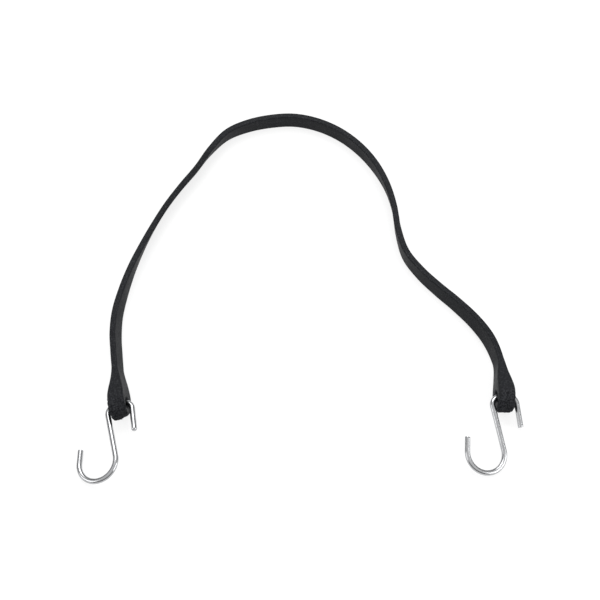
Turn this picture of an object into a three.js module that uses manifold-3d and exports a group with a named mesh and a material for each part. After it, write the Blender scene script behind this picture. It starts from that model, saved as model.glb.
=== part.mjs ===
// Rubber tie-down strap with an S-hook in each end.
//
// The strap is one rubber moulding: a flat band with a thick round lug at each end, and a bore through
// each lug. An open S-hook of zinc-plated wire hangs in each bore. The band stands on one narrow edge
// on the surface that it lies on, bent into an arch, and both hooks lie on that surface.
//
// Millimetres. +Z is up, +Y points from the hooks to the crown of the arch, +X from the left lug to
// the right one. The origin is on the surface, under the middle of the whole strap.

import * as THREE from 'three';
import { mergeVertices } from 'three/addons/utils/BufferGeometryUtils.js';
import Module from 'manifold-3d';

const wasm = await Module();
wasm.setup();

// The band between the lugs
const bandWidth = 18;
const bandThickness = 6.5;
const bandCornerRadius = 1.5;

// The lugs
const lugRadius = 16.5;
const lugThickness = 16.6;
const lugRimRadius = 3;
const lugTaperLength = 40;
const lugLiftRun = 120;
const taperStartShare = 0.4;

// The S-hooks
const wireDiameter = 5.5;
const stemLength = 43.6;
const bigLoopRadius = 19.4;
const bigLoopTipLength = 13.3;
const smallLoopTipLength = 22.9;
const smallLoopShoulderRadius = 8;

// How a hook fits its lug
const lugSideClearance = 2.05;
const boreSlack = 2.4;
const boreMouthRadius = 2.8;
const smallLoopDrop = 1;

// Facets
const bandStep = 7;
const lugStep = 3.2;
const wireStep = 2.4;
const lugEndStep = 0.6;
const cutterOverrun = 2;
const weldTolerance = 0.0005;
const cornerSegments = 4;
const lugEndSegments = 8;
const wireSides = 16;
const boreSides = 32;
const mouthSegments = 4;

const degree = Math.PI / 180;
const up = new THREE.Vector3(0, 0, 1);

// The route of the band's middle, from the left bore to the right one, seen from above. Each row is
// x, y and the lean of the band in degrees, which is positive where its top edge leans out of the arch.
const route = [
  [-179.8, -140.7, 9.5],
  [-181.4, -121.2, 12.5],
  [-184.6, -101.2, 17],
  [-187.6, -80.7, 18],
  [-190.1, -60.7, 17.5],
  [-190.3, -34.7, 13],
  [-186, -7.8, 6],
  [-179.5, 19, -3],
  [-170.6, 46, -13],
  [-160.3, 72.5, -20],
  [-148, 99, -23],
  [-133.6, 124, -24.5],
  [-117.5, 148.5, -23.5],
  [-102.8, 173.8, -18],
  [-83.8, 197, -9],
  [-61.1, 209.3, -3],
  [-34.3, 216.3, 0],
  [-7.5, 217.8, 0],
  [18.6, 211.3, 0],
  [42.9, 198, 0.5],
  [64.4, 178.3, 0.5],
  [81.4, 154.5, -1.5],
  [94.1, 126.7, -7.5],
  [101.3, 97.3, -9.5],
  [104.3, 66.8, -6],
  [111.1, 38.1, 0],
  [125.5, 15, 4.5],
  [143.1, -5.1, 7.5],
  [161.2, -23.5, 10.5],
  [177.7, -43.4, 13.5],
  [190.9, -66.7, 15],
  [198.2, -93.2, 10],
  [199.5, -111.7, 3],
  [200.6, -132.1, 4.5],
];

// How each hook hangs loose in its bore, in degrees: it is skewed in its own plane, and rocked about its
// length, which lifts its -X side where positive
const leftHookSkewAngle = 4.3;
const rightHookSkewAngle = 5.2;
const leftHookRockAngle = -8.6;
const rightHookRockAngle = 10.3;

// How far the right hook has slid along its bore to +X. The left one is in the middle of its bore.
const rightHookSlide = -0.7;

// The angle between a hook's small-loop legs and its stem, and how far the big loop closes, in degrees
const stemAngle = 5.3;
const bigLoopClosingAngle = 10.2;

// A hook that lies on the surface has swung by less than this from its lug's direction, in degrees
const restingSwingLimitAngle = 45;
const swingToleranceAngle = 0.001;

const bandHalfWidth = bandWidth / 2;
const bandHalfThickness = bandThickness / 2;
const lugHalfThickness = lugThickness / 2;
const wireRadius = wireDiameter / 2;
const smallLoopHalfWidth = lugHalfThickness + lugSideClearance + wireRadius;
const boreRadius = wireRadius + boreSlack;

// A share that rises from 0 to 1 and is level at both ends
function smoothShare(share) {
  const t = Math.min(Math.max(share, 0), 1);
  return t * t * (3 - 2 * t);
}

// The taper from the band to a lug, which starts at an angle and runs out level at the bore
function taperShare(fromBore) {
  const share = Math.max(1 - fromBore / lugTaperLength, 0);
  return smoothShare(share) + taperStartShare * share * (1 - share) ** 2;
}

// Half the width and half the thickness of the moulding, at a distance from the nearer bore that is
// negative in the round end
function sectionSize(fromBore) {
  if (fromBore >= 0) {
    const share = taperShare(fromBore);
    return {
      halfWidth: THREE.MathUtils.lerp(bandHalfWidth, lugRadius, share),
      halfThickness: THREE.MathUtils.lerp(bandHalfThickness, lugHalfThickness, share),
      corner: THREE.MathUtils.lerp(bandCornerRadius, lugRimRadius, share),
    };
  }
  const halfWidth = Math.sqrt(lugRadius ** 2 - fromBore ** 2);
  const rim = Math.max(lugRimRadius - (lugRadius + fromBore), 0);
  const halfThickness = lugHalfThickness - lugRimRadius + Math.sqrt(lugRimRadius ** 2 - rim ** 2);
  return { halfWidth, halfThickness, corner: Math.min(lugRimRadius, halfWidth) };
}

// The height of a section's middle when it leans and its lower corner stands on the surface
function standingHeight(halfWidth, halfThickness, corner, lean) {
  const rise = (halfWidth - corner) * Math.cos(lean);
  return rise + (halfThickness - corner) * Math.abs(Math.sin(lean)) + corner;
}

const routeLine = new THREE.CatmullRomCurve3(route.map(([x, y]) => new THREE.Vector3(x, y, 0)));
routeLine.arcLengthDivisions = 40 * route.length;
const leanLine = new THREE.SplineCurve(route.map(([, , lean], index) => new THREE.Vector2(index, lean)));
const routeLength = routeLine.getLength();

// The place and the directions of the moulding's section at a distance along the route. travel runs
// along the route, face is square to the wide face on the inside of the arch, and rise runs across
// the wide face. Beyond a bore the route runs straight on.
function sectionFrame(along) {
  const onRoute = Math.min(Math.max(along, 0), routeLength);
  const share = onRoute / routeLength;
  const travel = routeLine.getTangentAt(share).normalize();
  const middle = routeLine.getPointAt(share).addScaledVector(travel, along - onRoute);
  const leanShare = routeLine.getUtoTmapping(share);
  const lean = leanLine.getPoint(leanShare).y * degree;

  const nearerBore = Math.min(onRoute, routeLength - onRoute);
  const band = standingHeight(bandHalfWidth, bandHalfThickness, bandCornerRadius, lean);
  const lug = standingHeight(lugRadius, lugHalfThickness, lugRimRadius, lean);
  const liftShare = smoothShare(1 - nearerBore / lugLiftRun);
  middle.z = THREE.MathUtils.lerp(band, lug, liftShare);

  const inside = new THREE.Vector3().crossVectors(travel, up);
  const face = inside.clone().multiplyScalar(Math.cos(lean)).addScaledVector(up, Math.sin(lean));
  const rise = up.clone().multiplyScalar(Math.cos(lean)).addScaledVector(inside, -Math.sin(lean));
  return { middle, travel, face, rise, nearerBore };
}

// A rectangle with round corners, as pairs of shifts along face and rise, turning from face to rise
function roundedRectangle({ halfWidth, halfThickness, corner }) {
  const points = [];
  for (let quarter = 0; quarter < 4; quarter += 1) {
    const faceSide = quarter === 0 || quarter === 3 ? 1 : -1;
    const riseSide = quarter < 2 ? 1 : -1;
    for (let step = 0; step <= cornerSegments; step += 1) {
      const angle = (Math.PI / 2) * (quarter + step / cornerSegments);
      points.push([
        faceSide * (halfThickness - corner) + corner * Math.cos(angle),
        riseSide * (halfWidth - corner) + corner * Math.sin(angle),
      ]);
    }
  }
  return points;
}

// Distances along the route of every section, from one round end to the other
function sectionPlaces() {
  const places = [];
  const lastShare = 1 - lugEndStep / lugRadius;
  const lastAngle = Math.asin(lastShare);
  for (let step = lugEndSegments; step > 0; step -= 1) {
    places.push(-lugRadius * Math.sin((lastAngle * step) / lugEndSegments));
  }
  const taperSteps = Math.round(lugTaperLength / lugStep);
  for (let step = 0; step < taperSteps; step += 1) places.push((lugTaperLength * step) / taperSteps);
  const farEnd = places.map((place) => routeLength - place).reverse();
  const bandLength = routeLength - 2 * lugTaperLength;
  const bandSteps = Math.round(bandLength / bandStep);
  for (let step = 0; step <= bandSteps; step += 1) {
    places.push(lugTaperLength + (bandLength * step) / bandSteps);
  }
  return [...places, ...farEnd];
}

// A closed skin over rings of points that all have the same number of points
function loftGeometry(rings) {
  const sides = rings[0].length;
  const positions = rings.flat().flatMap((point) => point.toArray());
  const corners = [];
  for (let ring = 0; ring + 1 < rings.length; ring += 1) {
    for (let side = 0; side < sides; side += 1) {
      const here = ring * sides + side;
      const beside = ring * sides + ((side + 1) % sides);
      corners.push(here, here + sides, beside, beside, here + sides, beside + sides);
    }
  }
  const last = (rings.length - 1) * sides;
  for (let side = 1; side + 1 < sides; side += 1) {
    corners.push(0, side, side + 1);
    corners.push(last, last + side + 1, last + side);
  }
  const geometry = new THREE.BufferGeometry();
  geometry.setAttribute('position', new THREE.Float32BufferAttribute(positions, 3));
  geometry.setIndex(corners);
  return geometry;
}

// A solid for cutting, from a closed geometry
function solidOf(geometry) {
  const bare = geometry.clone();
  bare.deleteAttribute('normal');
  bare.deleteAttribute('uv');
  const welded = mergeVertices(bare, weldTolerance);
  const corners = [];
  for (let first = 0; first < welded.index.count; first += 3) {
    const triangle = [0, 1, 2].map((corner) => welded.index.getX(first + corner));
    if (new Set(triangle).size === 3) corners.push(...triangle);
  }
  return new wasm.Manifold(new wasm.Mesh({
    numProp: 3,
    vertProperties: new Float32Array(welded.attributes.position.array),
    triVerts: new Uint32Array(corners),
  }));
}

function geometryOf(solid) {
  const mesh = solid.getMesh();
  const geometry = new THREE.BufferGeometry();
  geometry.setAttribute('position', new THREE.BufferAttribute(mesh.vertProperties, 3));
  geometry.setIndex([...mesh.triVerts]);
  geometry.computeVertexNormals();
  return geometry;
}

// What a bore takes out of a lug: a round hole whose mouths open out in a quarter round, which leaves
// room for the shoulders of the hook's small loop. The geometry's own Y is the bore's axis.
function boreGeometry() {
  const halfLength = lugHalfThickness + cutterOverrun;
  const mouthMiddle = lugHalfThickness - boreMouthRadius;
  const mouth = [];
  for (let step = 0; step <= mouthSegments; step += 1) {
    const angle = ((Math.PI / 2) * step) / mouthSegments;
    mouth.push([
      boreRadius + boreMouthRadius * (1 - Math.cos(angle)),
      mouthMiddle + boreMouthRadius * Math.sin(angle),
    ]);
  }
  const upper = [...mouth, [boreRadius + boreMouthRadius, halfLength], [0, halfLength]];
  const lower = upper.map(([radius, height]) => [radius, -height]).reverse();
  const profile = [...lower, ...upper].map(([radius, height]) => new THREE.Vector2(radius, height));
  return new THREE.LatheGeometry(profile, boreSides);
}

function strapGeometry() {
  const rings = sectionPlaces().map((along) => {
    const { middle, face, rise, nearerBore } = sectionFrame(along);
    const beyond = Math.min(along, routeLength - along);
    const outline = roundedRectangle(sectionSize(beyond < 0 ? beyond : nearerBore));
    return outline.map(([acrossFace, acrossRise]) => (
      middle.clone().addScaledVector(face, acrossFace).addScaledVector(rise, acrossRise)));
  });
  let strap = solidOf(loftGeometry(rings));
  for (const along of [0, routeLength]) {
    const { middle, travel, face } = sectionFrame(along);
    const place = new THREE.Matrix4().makeBasis(
      travel, face, new THREE.Vector3().crossVectors(travel, face));
    place.setPosition(middle);
    strap = strap.subtract(solidOf(boreGeometry().applyMatrix4(place)));
  }
  return geometryOf(strap);
}

// Part of a circle in the XY plane, from one angle to another
class Bend extends THREE.Curve {
  constructor(middle, radius, from, to) {
    super();
    Object.assign(this, { middle, radius, from, to });
  }

  getPoint(share, target = new THREE.Vector3()) {
    const angle = THREE.MathUtils.lerp(this.from, this.to, share);
    return target.set(
      this.middle.x + this.radius * Math.cos(angle),
      this.middle.y + this.radius * Math.sin(angle),
      0,
    );
  }
}

// The middle of a hook's wire, in the XY plane. The bore's axis is X, the small loop's straight top is
// in the bore, and the hook hangs along -Y. It starts at the small loop's tip on the +X side, and its
// big loop turns to -X.
function hookLine() {
  const slope = stemAngle * degree;
  const closing = bigLoopClosingAngle * degree;
  const shoulderReach = smallLoopHalfWidth - smallLoopShoulderRadius;
  const shoulderY = -smallLoopDrop - smallLoopShoulderRadius;
  const smallTip = new THREE.Vector3(smallLoopHalfWidth, shoulderY - smallLoopTipLength, 0);
  const tipShoulder = new Bend(
    new THREE.Vector3(shoulderReach, shoulderY, 0), smallLoopShoulderRadius, 0, Math.PI / 2);
  const stemShoulder = new Bend(
    new THREE.Vector3(-shoulderReach, shoulderY, 0), smallLoopShoulderRadius, Math.PI / 2, Math.PI + slope);

  const stemTop = stemShoulder.getPoint(1);
  const stemWay = new THREE.Vector3(Math.sin(slope), -Math.cos(slope), 0);
  const stemFoot = stemTop.clone().addScaledVector(stemWay, stemLength);
  const bigMiddle = stemFoot.clone().add(
    new THREE.Vector3(-Math.cos(slope), -Math.sin(slope), 0).multiplyScalar(bigLoopRadius));
  const bigLoop = new Bend(bigMiddle, bigLoopRadius, slope, -Math.PI - closing);
  const bigTipWay = new THREE.Vector3(Math.sin(closing), Math.cos(closing), 0);
  const bigTip = bigLoop.getPoint(1).addScaledVector(bigTipWay, bigLoopTipLength);

  const line = new THREE.CurvePath();
  line.add(new THREE.LineCurve3(smallTip, tipShoulder.getPoint(0)));
  line.add(tipShoulder);
  line.add(new THREE.LineCurve3(tipShoulder.getPoint(1), stemShoulder.getPoint(0)));
  line.add(stemShoulder);
  line.add(new THREE.LineCurve3(stemTop, stemFoot));
  line.add(bigLoop);
  line.add(new THREE.LineCurve3(bigLoop.getPoint(1), bigTip));
  return line;
}

function wireGeometry(line) {
  const section = new THREE.Shape();
  for (let side = 0; side < wireSides; side += 1) {
    const angle = (2 * Math.PI * (side + 0.5)) / wireSides;
    const x = wireRadius * Math.cos(angle);
    const y = wireRadius * Math.sin(angle);
    if (side === 0) section.moveTo(x, y);
    else section.lineTo(x, y);
  }
  section.closePath();
  return new THREE.ExtrudeGeometry(section, {
    steps: Math.round(line.getLength() / wireStep),
    extrudePath: line,
  });
}

// A hook's turning about its bore: square to the bore's axis it hangs straight out of the lug
function hookTurn(boreAxis, outOfLug, swing, rock, skew) {
  const lift = new THREE.Vector3().crossVectors(outOfLug, boreAxis);
  const square = new THREE.Matrix4().makeBasis(boreAxis, outOfLug.clone().negate(), lift);
  const turn = new THREE.Matrix4().makeRotationX(swing);
  turn.multiply(new THREE.Matrix4().makeRotationY(rock));
  turn.multiply(new THREE.Matrix4().makeRotationZ(skew));
  return new THREE.Quaternion().setFromRotationMatrix(square.multiply(turn));
}

// The swing at which the lowest wire of a hook lies on the surface
function restingSwing(line, middle, boreAxis, outOfLug, rock, skew) {
  const wire = line.getSpacedPoints(Math.round(line.getLength() / wireStep));
  const clearanceAt = (swing) => {
    const turn = hookTurn(boreAxis, outOfLug, swing, rock, skew);
    const heights = wire.map((point) => point.clone().applyQuaternion(turn).z + middle.z);
    return Math.min(...heights) - wireRadius;
  };
  let high = -restingSwingLimitAngle * degree;
  let low = restingSwingLimitAngle * degree;
  while (low - high > swingToleranceAngle * degree) {
    const swing = (low + high) / 2;
    if (clearanceAt(swing) > 0) high = swing;
    else low = swing;
  }
  return high;
}

const rubber = new THREE.MeshStandardMaterial({ color: 0x1f2022, roughness: 0.78, metalness: 0 });
const zincWire = new THREE.MeshStandardMaterial({ color: 0xc4c7ca, roughness: 0.32, metalness: 1 });

const assembly = new THREE.Group();

const strap = new THREE.Mesh(strapGeometry(), rubber);
strap.name = 'strap';
assembly.add(strap);

// Both hooks are the same and face the same way, so the bore's axis runs to +X for both
const wireLine = hookLine();
for (const [name, along, side, rockAngle, skewAngle, slide] of [
  ['hook_left', 0, 1, leftHookRockAngle, leftHookSkewAngle, 0],
  ['hook_right', routeLength, -1, rightHookRockAngle, rightHookSkewAngle, rightHookSlide],
]) {
  const rock = rockAngle * degree;
  const skew = skewAngle * degree;
  const { middle, travel, face } = sectionFrame(along);
  const boreAxis = face.clone().multiplyScalar(side);
  const outOfLug = travel.clone().multiplyScalar(-side);
  middle.addScaledVector(boreAxis, slide);
  const swing = restingSwing(wireLine, middle, boreAxis, outOfLug, rock, skew);
  const hook = new THREE.Mesh(wireGeometry(wireLine), zincWire);
  hook.name = name;
  hook.position.copy(middle);
  hook.quaternion.copy(hookTurn(boreAxis, outOfLug, swing, rock, skew));
  assembly.add(hook);
}

export default assembly;
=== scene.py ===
# Rubber tie-down strap with an S-hook in each end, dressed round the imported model.
#
# The strap is one dark rubber moulding. Its free band is one piece here and each bored lug another, which
# meet where the band starts to widen. Each hook is a bright zinc-plated wire. Its ends are sheared, but for
# the end of the left hook's small loop, which is rounded.
#
# Metres. +Z is up, +Y points from the hooks to the crown of the arch, +X from the left lug to the right.

import math

import bmesh
import bpy
import numpy as np
from mathutils import Matrix, Vector, noise


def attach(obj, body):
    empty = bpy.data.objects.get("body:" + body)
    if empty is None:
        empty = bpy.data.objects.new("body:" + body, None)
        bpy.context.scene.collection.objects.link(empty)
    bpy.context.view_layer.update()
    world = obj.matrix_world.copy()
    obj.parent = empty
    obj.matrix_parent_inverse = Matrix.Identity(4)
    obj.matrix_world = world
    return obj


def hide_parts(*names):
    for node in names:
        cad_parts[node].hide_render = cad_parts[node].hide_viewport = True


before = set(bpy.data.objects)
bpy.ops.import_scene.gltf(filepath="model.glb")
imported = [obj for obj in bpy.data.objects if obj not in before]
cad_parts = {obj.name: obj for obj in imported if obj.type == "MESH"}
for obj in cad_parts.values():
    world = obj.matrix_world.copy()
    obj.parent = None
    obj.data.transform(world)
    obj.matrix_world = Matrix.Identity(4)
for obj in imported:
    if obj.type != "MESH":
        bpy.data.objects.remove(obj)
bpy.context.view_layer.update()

# The band between the lugs
BAND_WIDTH = 0.018
BAND_THICKNESS = 0.0065
BAND_CORNER_RADIUS = 0.0015

# The lugs
LUG_RADIUS = 0.0165
LUG_THICKNESS = 0.0166
LUG_RIM_RADIUS = 0.003
LUG_TAPER_LENGTH = 0.04
LUG_LIFT_RUN = 0.12
TAPER_START_SHARE = 0.4

# The S-hooks
WIRE_DIAMETER = 0.0055
STEM_LENGTH = 0.0436
BIG_LOOP_RADIUS = 0.0194
BIG_LOOP_TIP_LENGTH = 0.0133
SMALL_LOOP_TIP_LENGTH = 0.0229
SMALL_LOOP_SHOULDER_RADIUS = 0.008
STEM_ANGLE = math.radians(5.3)
BIG_LOOP_CLOSING = math.radians(10.2)
LEFT_HOOK_SKEW = math.radians(4.3)
RIGHT_HOOK_SKEW = math.radians(5.2)
LEFT_HOOK_ROCK = math.radians(-8.6)
RIGHT_HOOK_ROCK = math.radians(10.3)
RIGHT_HOOK_SLIDE = -0.0007

# A hook that lies on the floor has swung by less than this from its lug's direction
RESTING_SWING_LIMIT = math.radians(45)
SWING_SEARCH_STEPS = 40

# The wire's ends: each ring's radius and its distance past the end, as shares of the wire's radius
SHEARED_END_SHARES = [(1, 0.16), (0.975, 0.22), (0.93, 0.25), (0.7, 0.255), (0.35, 0.24)]
ROUNDED_END_SHARES = [(1, -0.2), (0.97, 0), (0.87, 0.2), (0.7, 0.36), (0.45, 0.47), (0.18, 0.51)]

# The slope of a wire's end, and where round the wire it stands out farthest, in radians
END_SLOPE = 0.1
END_SLOPE_TURN = -0.7

# How a hook fits its lug
LUG_SIDE_CLEARANCE = 0.00205
BORE_SLACK = 0.0024
BORE_MOUTH_RADIUS = 0.0028
SMALL_LOOP_DROP = 0.001

# How sharply the taper of a lug's face meets the round of its bore's mouth
MEET_POWER = 4

# The route of the band's middle, from the left bore to the right one, seen from above. Each row is
# x, y and the lean of the band in degrees, which is positive where its top edge leans out of the arch.
ROUTE = [
    (-0.1798, -0.1407, 9.5),
    (-0.1814, -0.1212, 12.5),
    (-0.1846, -0.1012, 17),
    (-0.1876, -0.0807, 18),
    (-0.1901, -0.0607, 17.5),
    (-0.1903, -0.0347, 13),
    (-0.186, -0.0078, 6),
    (-0.1795, 0.019, -3),
    (-0.1706, 0.046, -13),
    (-0.1603, 0.0725, -20),
    (-0.148, 0.099, -23),
    (-0.1336, 0.124, -24.5),
    (-0.1175, 0.1485, -23.5),
    (-0.1028, 0.1738, -18),
    (-0.0838, 0.197, -9),
    (-0.0611, 0.2093, -3),
    (-0.0343, 0.2163, 0),
    (-0.0075, 0.2178, 0),
    (0.0186, 0.2113, 0),
    (0.0429, 0.198, 0.5),
    (0.0644, 0.1783, 0.5),
    (0.0814, 0.1545, -1.5),
    (0.0941, 0.1267, -7.5),
    (0.1013, 0.0973, -9.5),
    (0.1043, 0.0668, -6),
    (0.1111, 0.0381, 0),
    (0.1255, 0.015, 4.5),
    (0.1431, -0.0051, 7.5),
    (0.1612, -0.0235, 10.5),
    (0.1777, -0.0434, 13.5),
    (0.1909, -0.0667, 15),
    (0.1982, -0.0932, 10),
    (0.1995, -0.1117, 3),
    (0.2006, -0.1321, 4.5),
]

# The moulding's parting line, and how much its height varies
RIDGE_HALF_WIDTH = 0.00035
RIDGE_HEIGHT = 0.00014
RIDGE_VARIATION = 0.45
RIDGE_WAVES_PER_METRE = 90

# The flash round each lug's end. Where its noise plus the cover is under 0 there is none.
FLASH_HEIGHT = 0.0007
FLASH_SPACING = 0.0022
FLASH_COVER = 0.25

# The wear of each lug's round end, by distance from the bore's axis. Its noises run from about -1 to 1.
# The end stands out where the lumps' noise is over its level, and the pits' noise is cut off at their rim.
WEAR_START = 0.009
WEAR_RAMP = 0.006
LUMP_HEIGHT = 0.001
LUMP_SPACING = 0.006
LUMP_LEVEL = 0.35
PIT_DEPTH = 0.0009
PIT_SPACING = 0.0026
PIT_RIM = 0.1
FACE_LUMP_SHARE = 0.3
FACE_PIT_POWER = 5
LEFT_LUG_SEED = 3.7
RIGHT_LUG_SEED = 11.2

# The left lug's slanting trim: its depth, and where it starts and how soon it is full, by distance from
# the bore's axis (from WEAR_START) and along the band. Across the lug's thickness it is full at the inner
# wide face, at 1, and starts at TRIM_FACE_START, where the outer wide face is at -1.
LEFT_LUG_TRIM = 0.0036
TRIM_RAMP = LUG_RADIUS - WEAR_START
TRIM_END_START = 0.002
TRIM_END_RAMP = 0.012
TRIM_FACE_START = -0.4

# The place along each axis that a noise doesn't vary along. At whole numbers the noise would be 0.
NOISE_MIDDLE = 0.5

# Steps of the meshes
BAND_STEP = 0.0015
NECK_STEP = 0.0009
ROUND_STEPS = 84
ROOT_STEPS = 12
FACE_COLUMNS = 14
CORNER_STEPS = 6
EDGE_COLUMNS = 6
MOUTH_LAYERS = 9
FACE_LAYERS = 10
BORE_LAYERS = 10
POLAR_REACH = 0.0125
WIRE_STEP = 0.0006
WIRE_SIDES = 40
WELD_DISTANCE = 0.00001
SHARP_ANGLE = math.radians(50)

# The camera and the floor
CAMERA_TARGET = Vector((-0.0015, -0.0127, 0))
CAMERA_DISTANCE = 1.3125
CAMERA_ELEVATION = math.radians(60)
CAMERA_LENS_MM = 75
SENSOR_WIDTH_MM = 36
FLOOR_HALF_WIDTH = 30
FLOOR_DROP = 0.0002
FLOOR_GREY = 0.28
FLOOR_GLOW = 0.78

# The sky's grey by the height that it is seen at, from level to straight up
SKY_STOPS = [(0.0, 0.12), (0.25, 0.12), (0.55, 0.4), (0.8, 0.85)]

# Each lamp's name, place, size and watts. Each points at the origin.
LAMPS = [
    ("softbox", (-0.25, 1.6, 2.6), (2.2, 2.0), 44),
    ("left_card", (-1.05, -0.45, 0.5), (0.8, 0.6), 3.2),
    ("right_card", (1.05, -0.45, 0.5), (0.8, 0.6), 5.5),
]

# The rubber. Each stop is a noise's value and what the surface has there. The bloom is the faint grey
# cloud on old rubber, and the dust lies on it in specks.
BLOOM_STOPS = [(0.35, (0.0062, 0.0067, 0.0083)), (0.68, (0.0118, 0.0125, 0.0144))]
RUBBER_ROUGHNESS_STOPS = [(0.3, 0.54), (0.7, 0.68)]
DUST_STOPS = [(0.5, 0.0), (0.68, 1.0)]
DUST_COLOUR = (0.036, 0.037, 0.041, 1)
WORN_STOPS = [(0.42, (0.004, 0.004, 0.005)), (0.6, (0.046, 0.047, 0.052))]
WORN_ROUGHNESS = (0.95, 0.95, 0.95, 1)
WORN_SHARE = 0.7
RUBBER_SPECULAR = 0.18
RUBBER_SPECULAR_TINT = (0.94, 0.97, 1, 1)

# The zinc plating, with stops of the same kind
ZINC_STOPS = [(0.3, (0.43, 0.435, 0.445)), (0.7, (0.54, 0.545, 0.555))]
ZINC_ROUGHNESS_STOPS = [(0.3, 0.15), (0.75, 0.26)]

band_half_width = BAND_WIDTH / 2
band_half_thickness = BAND_THICKNESS / 2
lug_half_thickness = LUG_THICKNESS / 2
wire_radius = WIRE_DIAMETER / 2
small_loop_half_width = lug_half_thickness + LUG_SIDE_CLEARANCE + wire_radius
bore_radius = wire_radius + BORE_SLACK


def make_camera():
    data = bpy.data.cameras.new("camera")
    data.lens = CAMERA_LENS_MM
    data.sensor_width = SENSOR_WIDTH_MM
    camera = bpy.data.objects.new("camera", data)
    back = Vector((0, -math.cos(CAMERA_ELEVATION), math.sin(CAMERA_ELEVATION)))
    camera.location = CAMERA_TARGET + CAMERA_DISTANCE * back
    camera.rotation_euler = (math.pi / 2 - CAMERA_ELEVATION, 0, 0)
    bpy.context.scene.collection.objects.link(camera)
    bpy.context.scene.camera = camera


def lerp(start, end, share):
    return start + (end - start) * share


def smooth_share(share):
    """A share that rises from 0 to 1 and is level at both ends."""
    t = np.clip(share, 0, 1)
    return t * t * (3 - 2 * t)


def taper_share(from_bore):
    """The taper from the band to a lug, which starts at an angle and runs out level at the bore."""
    share = np.clip(1 - from_bore / LUG_TAPER_LENGTH, 0, 1)
    return smooth_share(share) + TAPER_START_SHARE * share * (1 - share) ** 2


def half_width(from_bore):
    return lerp(band_half_width, LUG_RADIUS, taper_share(from_bore))


def half_thickness(from_bore):
    return lerp(band_half_thickness, lug_half_thickness, taper_share(from_bore))


def corner_radius(from_bore):
    return lerp(BAND_CORNER_RADIUS, LUG_RIM_RADIUS, taper_share(from_bore))


class Route:
    """The line of the band's middle and the band's lean, by distance along the route."""

    table_steps = 12000

    def __init__(self, rows):
        rows = np.array(rows, float)
        self.places = self.centripetal(rows[:, :2])
        self.leans = self.uniform(np.radians(rows[:, 2]))
        self.turns = np.linspace(0, len(rows) - 1, self.table_steps)
        points = self.evaluate(self.places, self.turns)
        steps = np.linalg.norm(np.diff(points, axis=0), axis=1)
        self.lengths = np.concatenate([[0], np.cumsum(steps)])
        self.length = float(self.lengths[-1])

    @staticmethod
    def cubic(start, end, start_slope, end_slope):
        return np.stack([
            start,
            start_slope,
            3 * (end - start) - 2 * start_slope - end_slope,
            2 * (start - end) + start_slope + end_slope,
        ])

    @classmethod
    def centripetal(cls, points):
        """Catmull-Rom cubics, one for each stretch, with each knot spaced by the root of its distance."""
        ends = [2 * points[0] - points[1], *points, 2 * points[-1] - points[-2]]
        p0, p1, p2, p3 = (np.array(ends[k:len(ends) - 3 + k]) for k in range(4))
        d0, d1, d2 = (
            np.sqrt(np.linalg.norm(b - a, axis=1))[:, None] for a, b in ((p0, p1), (p1, p2), (p2, p3))
        )
        slope1 = ((p1 - p0) / d0 - (p2 - p0) / (d0 + d1) + (p2 - p1) / d1) * d1
        slope2 = ((p2 - p1) / d1 - (p3 - p1) / (d1 + d2) + (p3 - p2) / d2) * d1
        return cls.cubic(p1, p2, slope1, slope2)

    @classmethod
    def uniform(cls, values):
        ends = np.array([values[0], *values, values[-1]])[:, None]
        p0, p1, p2, p3 = (ends[k:len(ends) - 3 + k] for k in range(4))
        return cls.cubic(p1, p2, (p2 - p0) / 2, (p3 - p1) / 2)

    @staticmethod
    def evaluate(cubics, turns, slope=False):
        stretch = np.clip(turns.astype(int), 0, cubics.shape[1] - 1)
        t = (turns - stretch)[:, None]
        c0, c1, c2, c3 = cubics[:, stretch]
        if slope:
            return c1 + t * (2 * c2 + 3 * t * c3)
        return c0 + t * (c1 + t * (c2 + t * c3))

    def frames(self, along):
        """Middles, travels, faces and rises of the moulding's sections at distances along the route.

        A travel runs along the route, a face is square to the wide face on the inside of the arch, and
        a rise runs across the wide face. Beyond a bore the route runs straight on.
        """
        along = np.atleast_1d(np.asarray(along, float))
        on_route = np.clip(along, 0, self.length)
        turns = np.interp(on_route, self.lengths, self.turns)
        travel = self.evaluate(self.places, turns, slope=True)
        travel /= np.linalg.norm(travel, axis=1)[:, None]
        flat = self.evaluate(self.places, turns) + travel * (along - on_route)[:, None]
        lean = self.evaluate(self.leans, turns)[:, 0]

        nearer_bore = np.minimum(on_route, self.length - on_route)
        band = standing_height(band_half_width, band_half_thickness, BAND_CORNER_RADIUS, lean)
        lug = standing_height(LUG_RADIUS, lug_half_thickness, LUG_RIM_RADIUS, lean)
        height = lerp(band, lug, smooth_share(1 - nearer_bore / LUG_LIFT_RUN))

        middle = np.column_stack([flat, height])
        travel = np.column_stack([travel, np.zeros(len(along))])
        up = np.array([0.0, 0.0, 1.0])
        inside = np.cross(travel, up)
        cos, sin = np.cos(lean)[:, None], np.sin(lean)[:, None]
        return middle, travel, inside * cos + up * sin, up * cos - inside * sin


def standing_height(width, thickness, corner, lean):
    """The height of a section's middle when it leans and its lower corner stands on the floor."""
    return (width - corner) * np.cos(lean) + (thickness - corner) * np.abs(np.sin(lean)) + corner


def noise_at(*place):
    return noise.noise(Vector(place))


def edge_profile(thickness, corner, ridge):
    """Points over a narrow edge from the inner wide face to the outer one.

    Each is how far the point lies out from the corner's middle line, and its place across the face.
    """
    flat = thickness - corner
    points = []
    for step in range(CORNER_STEPS + 1):
        angle = math.pi / 2 * step / CORNER_STEPS
        points.append((corner * math.sin(angle), flat + corner * math.cos(angle)))
    for step in range(1, EDGE_COLUMNS + 1):
        points.append((corner, lerp(flat, RIDGE_HALF_WIDTH, step / EDGE_COLUMNS)))
    other = [(out, -across) for out, across in reversed(points)]
    return [*points, (corner + ridge, 0), *other]


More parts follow.
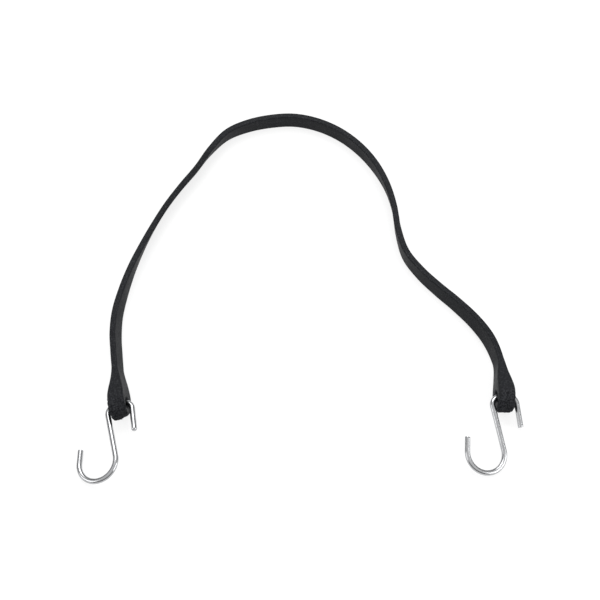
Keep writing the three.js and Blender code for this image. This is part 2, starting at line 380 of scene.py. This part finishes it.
def face_columns(reach):
    return [reach * (2 * step / FACE_COLUMNS - 1) for step in range(FACE_COLUMNS + 1)]


def section_loop(width, thickness, corner, ridge):
    """The closed outline of a section, as places across the width and across the thickness."""
    reach = width - corner
    columns = face_columns(reach)
    edge = edge_profile(thickness, corner, ridge)
    loop = [(across, thickness) for across in columns[:-1]]
    loop += [(reach + out, across) for out, across in edge[:-1]]
    loop += [(across, -thickness) for across in reversed(columns[1:])]
    loop += [(-reach - out, across) for out, across in reversed(edge[1:])]
    return loop


def ridge_height(along):
    """The parting line stands a little higher in one place than in another."""
    variation = noise_at(along * RIDGE_WAVES_PER_METRE, NOISE_MIDDLE, NOISE_MIDDLE)
    return RIDGE_HEIGHT * (1 + RIDGE_VARIATION * variation)


class MeshBuilder:
    """Collects points and faces, and makes them into one welded mesh object."""

    def __init__(self):
        self.points = []
        self.faces = []

    def grid(self, rows, close_rows=False):
        """Faces between rows of points. close_rows joins the ends of each row."""
        first = len(self.points)
        width = len(rows[0])
        for row in rows:
            self.points.extend(row)
        for row in range(len(rows) - 1):
            for column in range(width if close_rows else width - 1):
                here = first + row * width + column
                beside = first + row * width + (column + 1) % width
                self.faces.append((here, beside, beside + width, here + width))

    def cap(self, row):
        first = len(self.points)
        self.points.extend(row)
        self.faces.append(tuple(range(first, first + len(row))))

    def build(self, name, material):
        mesh = bpy.data.meshes.new(name)
        mesh.from_pydata([tuple(map(float, point)) for point in self.points], [], self.faces)
        welded = bmesh.new()
        welded.from_mesh(mesh)
        bmesh.ops.remove_doubles(welded, verts=welded.verts[:], dist=WELD_DISTANCE)
        bmesh.ops.recalc_face_normals(welded, faces=welded.faces[:])
        for face in welded.faces:
            face.smooth = True
        for edge in welded.edges:
            edge.smooth = edge.calc_face_angle(0) < SHARP_ANGLE
        welded.to_mesh(mesh)
        welded.free()
        mesh.materials.append(material)
        piece = bpy.data.objects.new(name, mesh)
        bpy.context.scene.collection.objects.link(piece)
        return piece


def place_section(points, middle, face, rise):
    return [middle + rise * across_width + face * across for across_width, across in points]


def band_stations(route):
    start, end = LUG_TAPER_LENGTH, route.length - LUG_TAPER_LENGTH
    return np.linspace(start, end, round((end - start) / BAND_STEP) + 1)


def make_band(route, material):
    along = band_stations(route)
    middles, _, faces, rises = route.frames(along)
    rings = []
    for place, middle, face, rise in zip(along, middles, faces, rises):
        loop = section_loop(band_half_width, band_half_thickness, BAND_CORNER_RADIUS, ridge_height(place))
        rings.append(place_section(loop, middle, face, rise))
    builder = MeshBuilder()
    builder.grid(rings, close_rows=True)
    builder.cap(rings[0])
    builder.cap(rings[-1])
    return builder.build("strap_band", material), middles


def face_height(x, y):
    """How far a lug's wide face lies from its middle plane, at x from the bore and y across."""
    taper = lug_half_thickness - half_thickness(max(x, 0))
    inside_mouth = bore_radius + BORE_MOUTH_RADIUS - math.hypot(x, y)
    rounding = min(max(inside_mouth, 0), BORE_MOUTH_RADIUS)
    mouth = BORE_MOUTH_RADIUS - math.sqrt(BORE_MOUTH_RADIUS ** 2 - rounding ** 2)
    return lug_half_thickness - (taper ** MEET_POWER + mouth ** MEET_POWER) ** (1 / MEET_POWER)


def wear_share(x, y):
    """The wear at a lug's point: none near the bore and the band, and all of it at the round end."""
    from_bore = (math.hypot(x, y) - WEAR_START) / WEAR_RAMP
    from_band = (WEAR_RAMP - x) / (2 * WEAR_RAMP)
    return float(smooth_share(from_bore) * smooth_share(from_band))


def worn(x, y, across, seed, trim):
    """A lug's point moved by the unevenness of its round end, which was trimmed by hand.

    trim is how far the end was cut back at the inner wide face. The cut runs out at the other face.
    """
    share = wear_share(x, y)
    if not share:
        return x, y, across
    reach = math.hypot(x, y)
    face_share = across / lug_half_thickness
    lump_noise = noise_at(x / LUMP_SPACING + seed, y / LUMP_SPACING, across / LUMP_SPACING)
    lump = LUMP_HEIGHT * share * (lump_noise - LUMP_LEVEL)
    pit_noise = noise_at(x / PIT_SPACING - seed, y / PIT_SPACING, across / PIT_SPACING)
    pit = PIT_DEPTH * share * min(pit_noise, PIT_RIM)
    cut = trim * float(
        smooth_share((reach - WEAR_START) / TRIM_RAMP)
        * smooth_share((TRIM_END_START - x) / TRIM_END_RAMP)
        * np.clip((face_share - TRIM_FACE_START) / (1 - TRIM_FACE_START), 0, 1))
    scale = 1 + (lump + pit - cut) / reach
    across_move = face_share ** FACE_PIT_POWER * pit + FACE_LUMP_SHARE * face_share * lump
    return x * scale, y * scale, across + across_move


def flash_height(angle, along_rim, seed):
    """The parting line's height round a lug's end, where the flash was torn off unevenly."""
    ragged = max(noise_at(along_rim / FLASH_SPACING + seed, seed, NOISE_MIDDLE) + FLASH_COVER, 0)
    return RIDGE_HEIGHT + FLASH_HEIGHT * ragged * float(smooth_share(2 * math.sin(angle)))


def rim_stations(seed, near_ridge):
    """Stations round a lug's narrow edge, from the top of its root round the end to the bottom.

    Each is the corner's middle (x, y), the way out, the half thickness, the corner radius and the
    height of the parting line.
    """
    def straight(places, side):
        return [
            (x, side * float(half_width(x) - corner_radius(x)), (0, side),
             float(half_thickness(x)), float(corner_radius(x)), near_ridge(x))
            for x in places
        ]

    reach = LUG_RADIUS - LUG_RIM_RADIUS
    round_end = []
    for step in range(ROUND_STEPS + 1):
        angle = math.pi * step / ROUND_STEPS
        way = (-math.sin(angle), math.cos(angle))
        ridge = flash_height(angle, angle * LUG_RADIUS, seed)
        round_end.append((reach * way[0], reach * way[1], way, lug_half_thickness, LUG_RIM_RADIUS, ridge))

    root = [POLAR_REACH * (1 - step / ROOT_STEPS) for step in range(ROOT_STEPS)]
    return straight(root, 1) + round_end + straight(root[::-1], -1)


def mark_wear(lug, route, start, side):
    """Stores each point's wear on a lug's mesh, where the rubber's material reads it."""
    middles, travels, _, rises = route.frames(start)
    wear = lug.data.attributes.new("wear", "FLOAT", "POINT")
    for vertex, value in zip(lug.data.vertices, wear.data):
        offset = np.array(vertex.co) - middles[0]
        value.value = wear_share(offset @ travels[0] * side, offset @ rises[0])


def make_lug(route, name, side, seed, trim, material):
    """One lug with its bore. side is 1 for the left lug, whose band leaves it along the route."""
    start = 0 if side == 1 else route.length

    def place(points):
        points = np.array([worn(*point, seed, trim) for point in points])
        middles, _, faces, rises = route.frames(start + side * points[:, 0])
        return list(middles + rises * points[:, 1:2] + faces * points[:, 2:3])

    def near_ridge(x):
        return ridge_height(start + side * x)

    builder = MeshBuilder()
    stations = rim_stations(seed, near_ridge)

    edges = []
    for x, y, way, thickness, corner, ridge in stations:
        profile = edge_profile(thickness, corner, ridge)
        edges.append(place([(x + out * way[0], y + out * way[1], across) for out, across in profile]))
    builder.grid(edges)

    root_reach = float(half_width(POLAR_REACH) - corner_radius(POLAR_REACH))
    root_columns = [(POLAR_REACH, across) for across in face_columns(root_reach)[1:-1]]
    outer = root_columns + [(x, y) for x, y, *_ in stations]
    mouth_end = bore_radius + BORE_MOUTH_RADIUS
    for face_side in (1, -1):
        layers = []
        for layer in range(MOUTH_LAYERS + FACE_LAYERS + 1):
            row = []
            for x, y in outer:
                reach = math.hypot(x, y)
                if layer <= MOUTH_LAYERS:
                    angle = math.pi / 2 * layer / MOUTH_LAYERS
                    out = bore_radius + BORE_MOUTH_RADIUS * (1 - math.cos(angle))
                else:
                    out = lerp(mouth_end, reach, (layer - MOUTH_LAYERS) / FACE_LAYERS)
                x_here, y_here = x * out / reach, y * out / reach
                row.append((x_here, y_here, face_side * float(face_height(x_here, y_here))))
            layers.append(place(row))
        builder.grid(layers, close_rows=True)

    wall = []
    for layer in range(BORE_LAYERS + 1):
        row = []
        for x, y in outer:
            reach = math.hypot(x, y)
            x_here, y_here = x * bore_radius / reach, y * bore_radius / reach
            height = float(face_height(x_here, y_here))
            row.append((x_here, y_here, height * (1 - 2 * layer / BORE_LAYERS)))
        wall.append(place(row))
    builder.grid(wall, close_rows=True)

    neck_steps = round((LUG_TAPER_LENGTH - POLAR_REACH) / NECK_STEP)
    rings = []
    for x in np.linspace(POLAR_REACH, LUG_TAPER_LENGTH, neck_steps + 1):
        loop = section_loop(
            float(half_width(x)), float(half_thickness(x)), float(corner_radius(x)), near_ridge(x))
        rings.append(place([(x, across_width, across) for across_width, across in loop]))
    builder.grid(rings, close_rows=True)
    builder.cap(rings[-1])
    lug = builder.build(name, material)
    mark_wear(lug, route, start, side)
    return lug


def hook_line():
    """The middle of a hook's wire, in the XY plane, as evenly spaced points.

    The bore's axis is X, the small loop's straight top is in the bore, and the hook hangs along -Y. It
    starts at the small loop's tip on the +X side, and its big loop turns to -X.
    """
    def bend(middle, radius, start, end):
        steps = max(round(radius * abs(end - start) / WIRE_STEP), 1)
        angles = np.linspace(start, end, steps + 1)
        return middle + radius * np.column_stack([np.cos(angles), np.sin(angles)])

    def straight(start, way, length):
        steps = max(round(length / WIRE_STEP), 1)
        return start + np.outer(np.linspace(0, length, steps + 1), way)

    radius = SMALL_LOOP_SHOULDER_RADIUS
    reach = small_loop_half_width - radius
    shoulder_y = -SMALL_LOOP_DROP - radius
    small_tip = np.array([small_loop_half_width, shoulder_y - SMALL_LOOP_TIP_LENGTH])
    small_leg = straight(small_tip, (0, 1), SMALL_LOOP_TIP_LENGTH)
    tip_shoulder = bend(np.array([reach, shoulder_y]), radius, 0, math.pi / 2)
    top = straight(tip_shoulder[-1], (-1, 0), 2 * reach)
    stem_shoulder = bend(np.array([-reach, shoulder_y]), radius, math.pi / 2, math.pi + STEM_ANGLE)
    stem = straight(stem_shoulder[-1], (math.sin(STEM_ANGLE), -math.cos(STEM_ANGLE)), STEM_LENGTH)
    big_middle = stem[-1] - BIG_LOOP_RADIUS * np.array([math.cos(STEM_ANGLE), math.sin(STEM_ANGLE)])
    big_loop = bend(big_middle, BIG_LOOP_RADIUS, STEM_ANGLE, -math.pi - BIG_LOOP_CLOSING)
    big_leg = straight(
        big_loop[-1], (math.sin(BIG_LOOP_CLOSING), math.cos(BIG_LOOP_CLOSING)), BIG_LOOP_TIP_LENGTH)
    return np.concatenate([
        small_leg, tip_shoulder[1:], top[1:], stem_shoulder[1:], stem[1:], big_loop[1:], big_leg[1:],
    ])


def hook_turn(bore_axis, out_of_lug, swing, rock, skew):
    """A hook's turning about its bore: square to the bore's axis it hangs straight out of the lug."""
    lift = out_of_lug.cross(bore_axis)
    square = Matrix((bore_axis, -out_of_lug, lift)).transposed()
    hung = Matrix.Rotation(rock, 3, "Y") @ Matrix.Rotation(skew, 3, "Z")
    return square @ Matrix.Rotation(swing, 3, "X") @ hung


def resting_swing(line, middle, bore_axis, out_of_lug, rock, skew):
    """The swing at which the lowest wire of a hook lies on the floor."""
    def clearance(swing):
        turn = np.array(hook_turn(bore_axis, out_of_lug, swing, rock, skew))
        return float((line @ turn[2, :2]).min()) + middle.z - wire_radius

    high, low = -RESTING_SWING_LIMIT, RESTING_SWING_LIMIT
    for _ in range(SWING_SEARCH_STEPS):
        swing = (low + high) / 2
        if clearance(swing) > 0:
            high = swing
        else:
            low = swing
    return high


def wire_rings(line, end_shapes):
    """Rings of points round a wire whose middle lies in the XY plane, with a shaped face at each end."""
    ways = np.gradient(line, axis=0)
    ways /= np.linalg.norm(ways, axis=1)[:, None]
    angles = 2 * math.pi * np.arange(WIRE_SIDES) / WIRE_SIDES

    def ring(place, way, radius, slope, shift):
        across = np.array([-way[1], way[0], 0])
        along = np.array([way[0], way[1], 0])
        middle = np.array([place[0], place[1], 0])
        lift = np.array([0, 0, 1.0])
        return [
            middle + radius * (math.cos(a) * across + math.sin(a) * lift)
            + along * (shift + slope * radius * math.cos(a - END_SLOPE_TURN))
            for a in angles
        ]

    rings = [ring(place, way, wire_radius, 0, 0) for place, way in zip(line, ways)]
    caps = []
    for place, way, outward, shape in (
        (line[0], ways[0], -1, end_shapes[0]),
        (line[-1], ways[-1], 1, end_shapes[1]),
    ):
        caps.append([
            ring(place, way, wire_radius * size, END_SLOPE * outward, wire_radius * shift * outward)
            for size, shift in shape
        ])
    return [*reversed(caps[0]), *rings[1:-1], *caps[1]]


def make_hook(route, name, line, end_shapes, along, side, rock, skew, slide, material):
    middles, travels, faces, _ = route.frames(along)
    middle, travel, face = Vector(middles[0]), Vector(travels[0]), Vector(faces[0])
    bore_axis, out_of_lug = face * side, travel * -side
    middle += bore_axis * slide
    swing = resting_swing(line, middle, bore_axis, out_of_lug, rock, skew)
    turn = np.array(hook_turn(bore_axis, out_of_lug, swing, rock, skew))
    rings = [[turn @ point + np.array(middle) for point in ring] for ring in wire_rings(line, end_shapes)]
    builder = MeshBuilder()
    builder.grid(rings, close_rows=True)
    builder.cap(rings[0])
    builder.cap(rings[-1])
    return builder.build(name, material)


def new_material(name):
    material = bpy.data.materials.new(name)
    material.use_nodes = True
    nodes, links = material.node_tree.nodes, material.node_tree.links
    return material, nodes, links, nodes["Principled BSDF"]


def feed(links, value, socket):
    """Links a socket to its source, or sets it to a plain value."""
    if isinstance(value, bpy.types.NodeSocket):
        links.new(value, socket)
    else:
        socket.default_value = value


def object_noise(nodes, links, place, scale, detail, roughness):
    """Noise over the object's own places, with scale in waves per metre."""
    texture = nodes.new("ShaderNodeTexNoise")
    texture.inputs["Scale"].default_value = scale
    texture.inputs["Detail"].default_value = detail
    texture.inputs["Roughness"].default_value = roughness
    links.new(place, texture.inputs["Vector"])
    return texture.outputs["Fac"]


def ramp(nodes, links, source, stops):
    """Colours or greys by a source. Each stop is a position and its colour or grey."""
    node = nodes.new("ShaderNodeValToRGB")
    elements = node.color_ramp.elements
    while len(elements) < len(stops):
        elements.new(1)
    for element, (position, colour) in zip(elements, stops):
        element.position = position
        element.color = (*colour, 1) if isinstance(colour, tuple) else (colour, colour, colour, 1)
    links.new(source, node.inputs["Fac"])
    return node.outputs["Color"]


def mixed(nodes, links, factor, first, second):
    node = nodes.new("ShaderNodeMix")
    node.data_type = "RGBA"
    for socket, value in (("Factor", factor), ("A", first), ("B", second)):
        feed(links, value, next(s for s in node.inputs if s.name == socket and s.enabled))
    return next(s for s in node.outputs if s.enabled)


def combined(nodes, links, operation, first, second):
    node = nodes.new("ShaderNodeMath")
    node.operation = operation
    feed(links, first, node.inputs[0])
    feed(links, second, node.inputs[1])
    return node.outputs[0]


def bump(nodes, links, height, distance, strength, normal=None):
    node = nodes.new("ShaderNodeBump")
    node.inputs["Distance"].default_value = distance
    feed(links, strength, node.inputs["Strength"])
    links.new(height, node.inputs["Height"])
    if normal is not None:
        links.new(normal, node.inputs["Normal"])
    return node.outputs["Normal"]


def rubber_material():
    material, nodes, links, shader = new_material("rubber")
    place = nodes.new("ShaderNodeTexCoord").outputs["Object"]
    bloom = object_noise(nodes, links, place, scale=45, detail=5, roughness=0.6)
    grain = object_noise(nodes, links, place, scale=600, detail=4, roughness=0.65)
    mottle = object_noise(nodes, links, place, scale=620, detail=3, roughness=0.65)
    waves = object_noise(nodes, links, place, scale=160, detail=2, roughness=0.5)
    attribute = nodes.new("ShaderNodeAttribute")
    attribute.attribute_name = "wear"
    wear = attribute.outputs["Fac"]
    worn_part = ramp(nodes, links, wear, [(0.0, 0.0), (1.0, WORN_SHARE)])

    colour = ramp(nodes, links, bloom, BLOOM_STOPS)
    dust = ramp(nodes, links, grain, DUST_STOPS)
    colour = mixed(nodes, links, dust, colour, DUST_COLOUR)
    worn_colour = ramp(nodes, links, mottle, WORN_STOPS)
    colour = mixed(nodes, links, worn_part, colour, worn_colour)
    links.new(colour, shader.inputs["Base Color"])

    rough = ramp(nodes, links, bloom, RUBBER_ROUGHNESS_STOPS)
    rough = mixed(nodes, links, worn_part, rough, WORN_ROUGHNESS)
    links.new(rough, shader.inputs["Roughness"])
    shader.inputs["Specular IOR Level"].default_value = RUBBER_SPECULAR
    shader.inputs["Specular Tint"].default_value = RUBBER_SPECULAR_TINT

    normal = bump(nodes, links, waves, distance=0.0004, strength=0.25)
    normal = bump(nodes, links, grain, distance=0.00018, strength=0.6, normal=normal)
    normal = bump(nodes, links, mottle, distance=0.0006, strength=wear, normal=normal)
    links.new(normal, shader.inputs["Normal"])
    return material


def zinc_material():
    material, nodes, links, shader = new_material("zinc_wire")
    place = nodes.new("ShaderNodeTexCoord").outputs["Object"]
    cloud = object_noise(nodes, links, place, scale=120, detail=4, roughness=0.6)
    fine = object_noise(nodes, links, place, scale=1400, detail=3, roughness=0.6)
    colour = ramp(nodes, links, cloud, ZINC_STOPS)
    links.new(colour, shader.inputs["Base Color"])
    rough = ramp(nodes, links, fine, ZINC_ROUGHNESS_STOPS)
    links.new(rough, shader.inputs["Roughness"])
    shader.inputs["Metallic"].default_value = 1
    normal = bump(nodes, links, cloud, distance=0.0002, strength=0.35)
    links.new(normal, shader.inputs["Normal"])
    return material


def floor_material():
    """A white floor that keeps the object's shadow. The camera and metal see it as white."""
    material, nodes, links, shader = new_material("floor")
    nodes.remove(shader)
    output = next(node for node in nodes if node.type == "OUTPUT_MATERIAL")
    matte = nodes.new("ShaderNodeBsdfDiffuse")
    matte.inputs["Color"].default_value = (FLOOR_GREY, FLOOR_GREY, FLOOR_GREY, 1)
    glow = nodes.new("ShaderNodeEmission")
    path = nodes.new("ShaderNodeLightPath").outputs
    seen = combined(nodes, links, "MAXIMUM", path["Is Camera Ray"], path["Is Glossy Ray"])
    seen = combined(nodes, links, "MAXIMUM", seen, path["Is Transmission Ray"])
    level = combined(nodes, links, "MULTIPLY", seen, FLOOR_GLOW)
    links.new(level, glow.inputs["Strength"])
    both = nodes.new("ShaderNodeAddShader")
    links.new(matte.outputs[0], both.inputs[0])
    links.new(glow.outputs[0], both.inputs[1])
    links.new(both.outputs[0], output.inputs["Surface"])
    return material


def make_floor():
    mesh = bpy.data.meshes.new("floor")
    reach = FLOOR_HALF_WIDTH
    corners = [(-reach, -reach, 0), (reach, -reach, 0), (reach, reach, 0), (-reach, reach, 0)]
    mesh.from_pydata(corners, [], [(0, 1, 2, 3)])
    mesh.materials.append(floor_material())
    floor = bpy.data.objects.new("floor", mesh)
    floor.location.z = -FLOOR_DROP
    bpy.context.scene.collection.objects.link(floor)


def make_world():
    world = bpy.data.worlds.new("studio")
    bpy.context.scene.world = world
    world.use_nodes = True
    nodes, links = world.node_tree.nodes, world.node_tree.links
    background = nodes["Background"]
    direction = nodes.new("ShaderNodeTexCoord").outputs["Generated"]
    split = nodes.new("ShaderNodeSeparateXYZ")
    links.new(direction, split.inputs[0])
    sky = ramp(nodes, links, split.outputs["Z"], SKY_STOPS)
    links.new(sky, background.inputs["Color"])
    background.inputs["Strength"].default_value = 1.0


def make_lamp(name, location, size, watts):
    data = bpy.data.lights.new(name, "AREA")
    data.shape = "RECTANGLE"
    data.size, data.size_y = size
    data.energy = watts
    lamp = bpy.data.objects.new(name, data)
    lamp.location = location
    lamp.rotation_euler = (-Vector(location)).to_track_quat("-Z", "Y").to_euler()
    bpy.context.scene.collection.objects.link(lamp)


bpy.context.scene.view_settings.view_transform = "Standard"
make_camera()
route = Route(ROUTE)
rubber = rubber_material()
zinc = zinc_material()

band, band_path = make_band(route, rubber)
lugs = [
    make_lug(route, "strap_lug_left", 1, LEFT_LUG_SEED, LEFT_LUG_TRIM, rubber),
    make_lug(route, "strap_lug_right", -1, RIGHT_LUG_SEED, 0, rubber),
]
for piece in (band, *lugs):
    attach(piece, "strap")
    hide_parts("strap")
tuple(map(float, band_path[0]))
[tuple(map(float, point)) for point in band_path]

line = hook_line()
for body, small_end, along, side, rock, skew, slide in (
    ("hook_left", ROUNDED_END_SHARES, 0, 1, LEFT_HOOK_ROCK, LEFT_HOOK_SKEW, 0),
    ("hook_right", SHEARED_END_SHARES, route.length, -1,
     RIGHT_HOOK_ROCK, RIGHT_HOOK_SKEW, RIGHT_HOOK_SLIDE),
):
    end_shapes = (small_end, SHEARED_END_SHARES)
    hook = make_hook(route, body + "_wire", line, end_shapes, along, side, rock, skew, slide, zinc)
    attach(hook, body)
    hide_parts(body)

make_floor()
make_world()
for lamp in LAMPS:
    make_lamp(*lamp)
